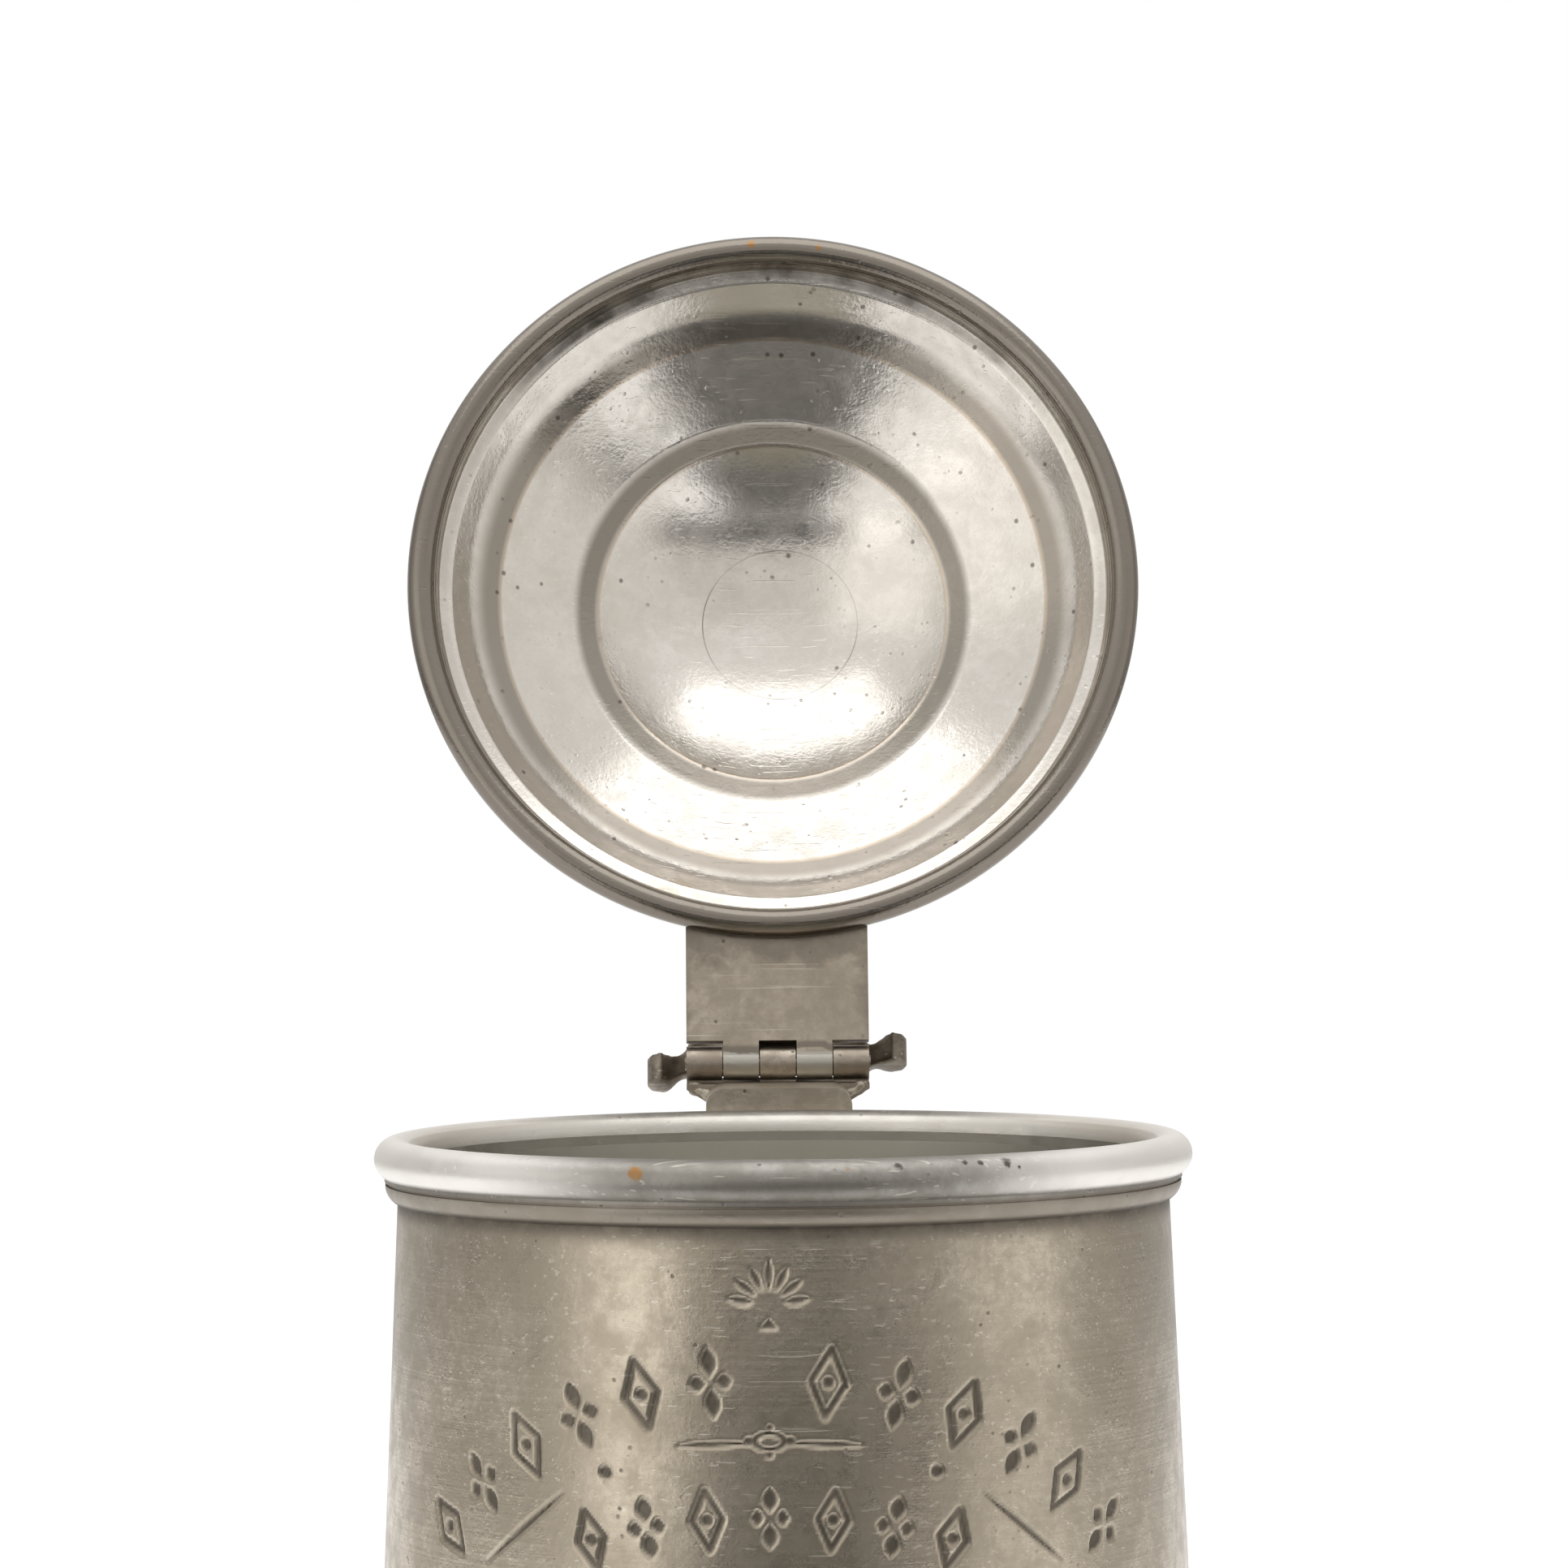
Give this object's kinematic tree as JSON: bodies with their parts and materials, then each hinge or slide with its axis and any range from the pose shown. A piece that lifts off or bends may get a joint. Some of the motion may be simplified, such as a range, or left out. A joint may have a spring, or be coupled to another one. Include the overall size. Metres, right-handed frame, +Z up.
{
  "type": "lidded pewter tankard",
  "caption": "Tapered quart tankard in pewter with a moulded lip and foot, a glass bottom, a scroll handle and a hinged double-domed lid with a winged thumbpiece.",
  "frame": {"origin": "centre of the base plane, on the drum's axis", "axes": "+Z up along the drum's axis; the front faces -Y; the handle and the hinge are at +Y"},
  "size_m": [0.123, 0.1782, 0.274],
  "materials": {
    "pewter_drum": "aged pewter, satin, turned",
    "pewter_lip": "worn pewter, half bright",
    "pewter_foot": "aged pewter, satin, turned",
    "pewter_handle": "aged pewter, handled smooth",
    "pewter_hinge": "dark aged pewter",
    "pewter_lid": "bright pewter inside, aged outside",
    "pewter_strap": "aged pewter, satin, turned",
    "pewter_thumbpiece": "dark grainy cast pewter",
    "solder": "rough soft solder",
    "pin_wire": "dull wire",
    "putty": "dry putty",
    "glass": "clear, faintly green"
  },
  "bodies": {
    "tankard": {"drum": "pewter_drum", "lip_moulding": "pewter_lip", "foot": "pewter_foot", "glass_bottom": "glass", "glass_bedding": "putty", "glass_bezel": "pewter_foot", "handle": "pewter_handle", "handle_strut": "pewter_handle", "handle_terminal": "pewter_handle", "hinge_bracket": "pewter_hinge", "hinge_solder": "solder", "hinge_pin": "pin_wire"},
    "lid": {"lid_cover": "pewter_lid", "lid_strap": "pewter_strap", "thumbpiece": "pewter_thumbpiece"}
  },
  "joints": [
    {"name": "lid_hinge", "type": "hinge", "parent": "tankard", "child": "lid", "pos_m": [0, 0.0736, 0.1487], "axis": [1, 0, 0], "range_deg": [0, 105]}
  ]
}
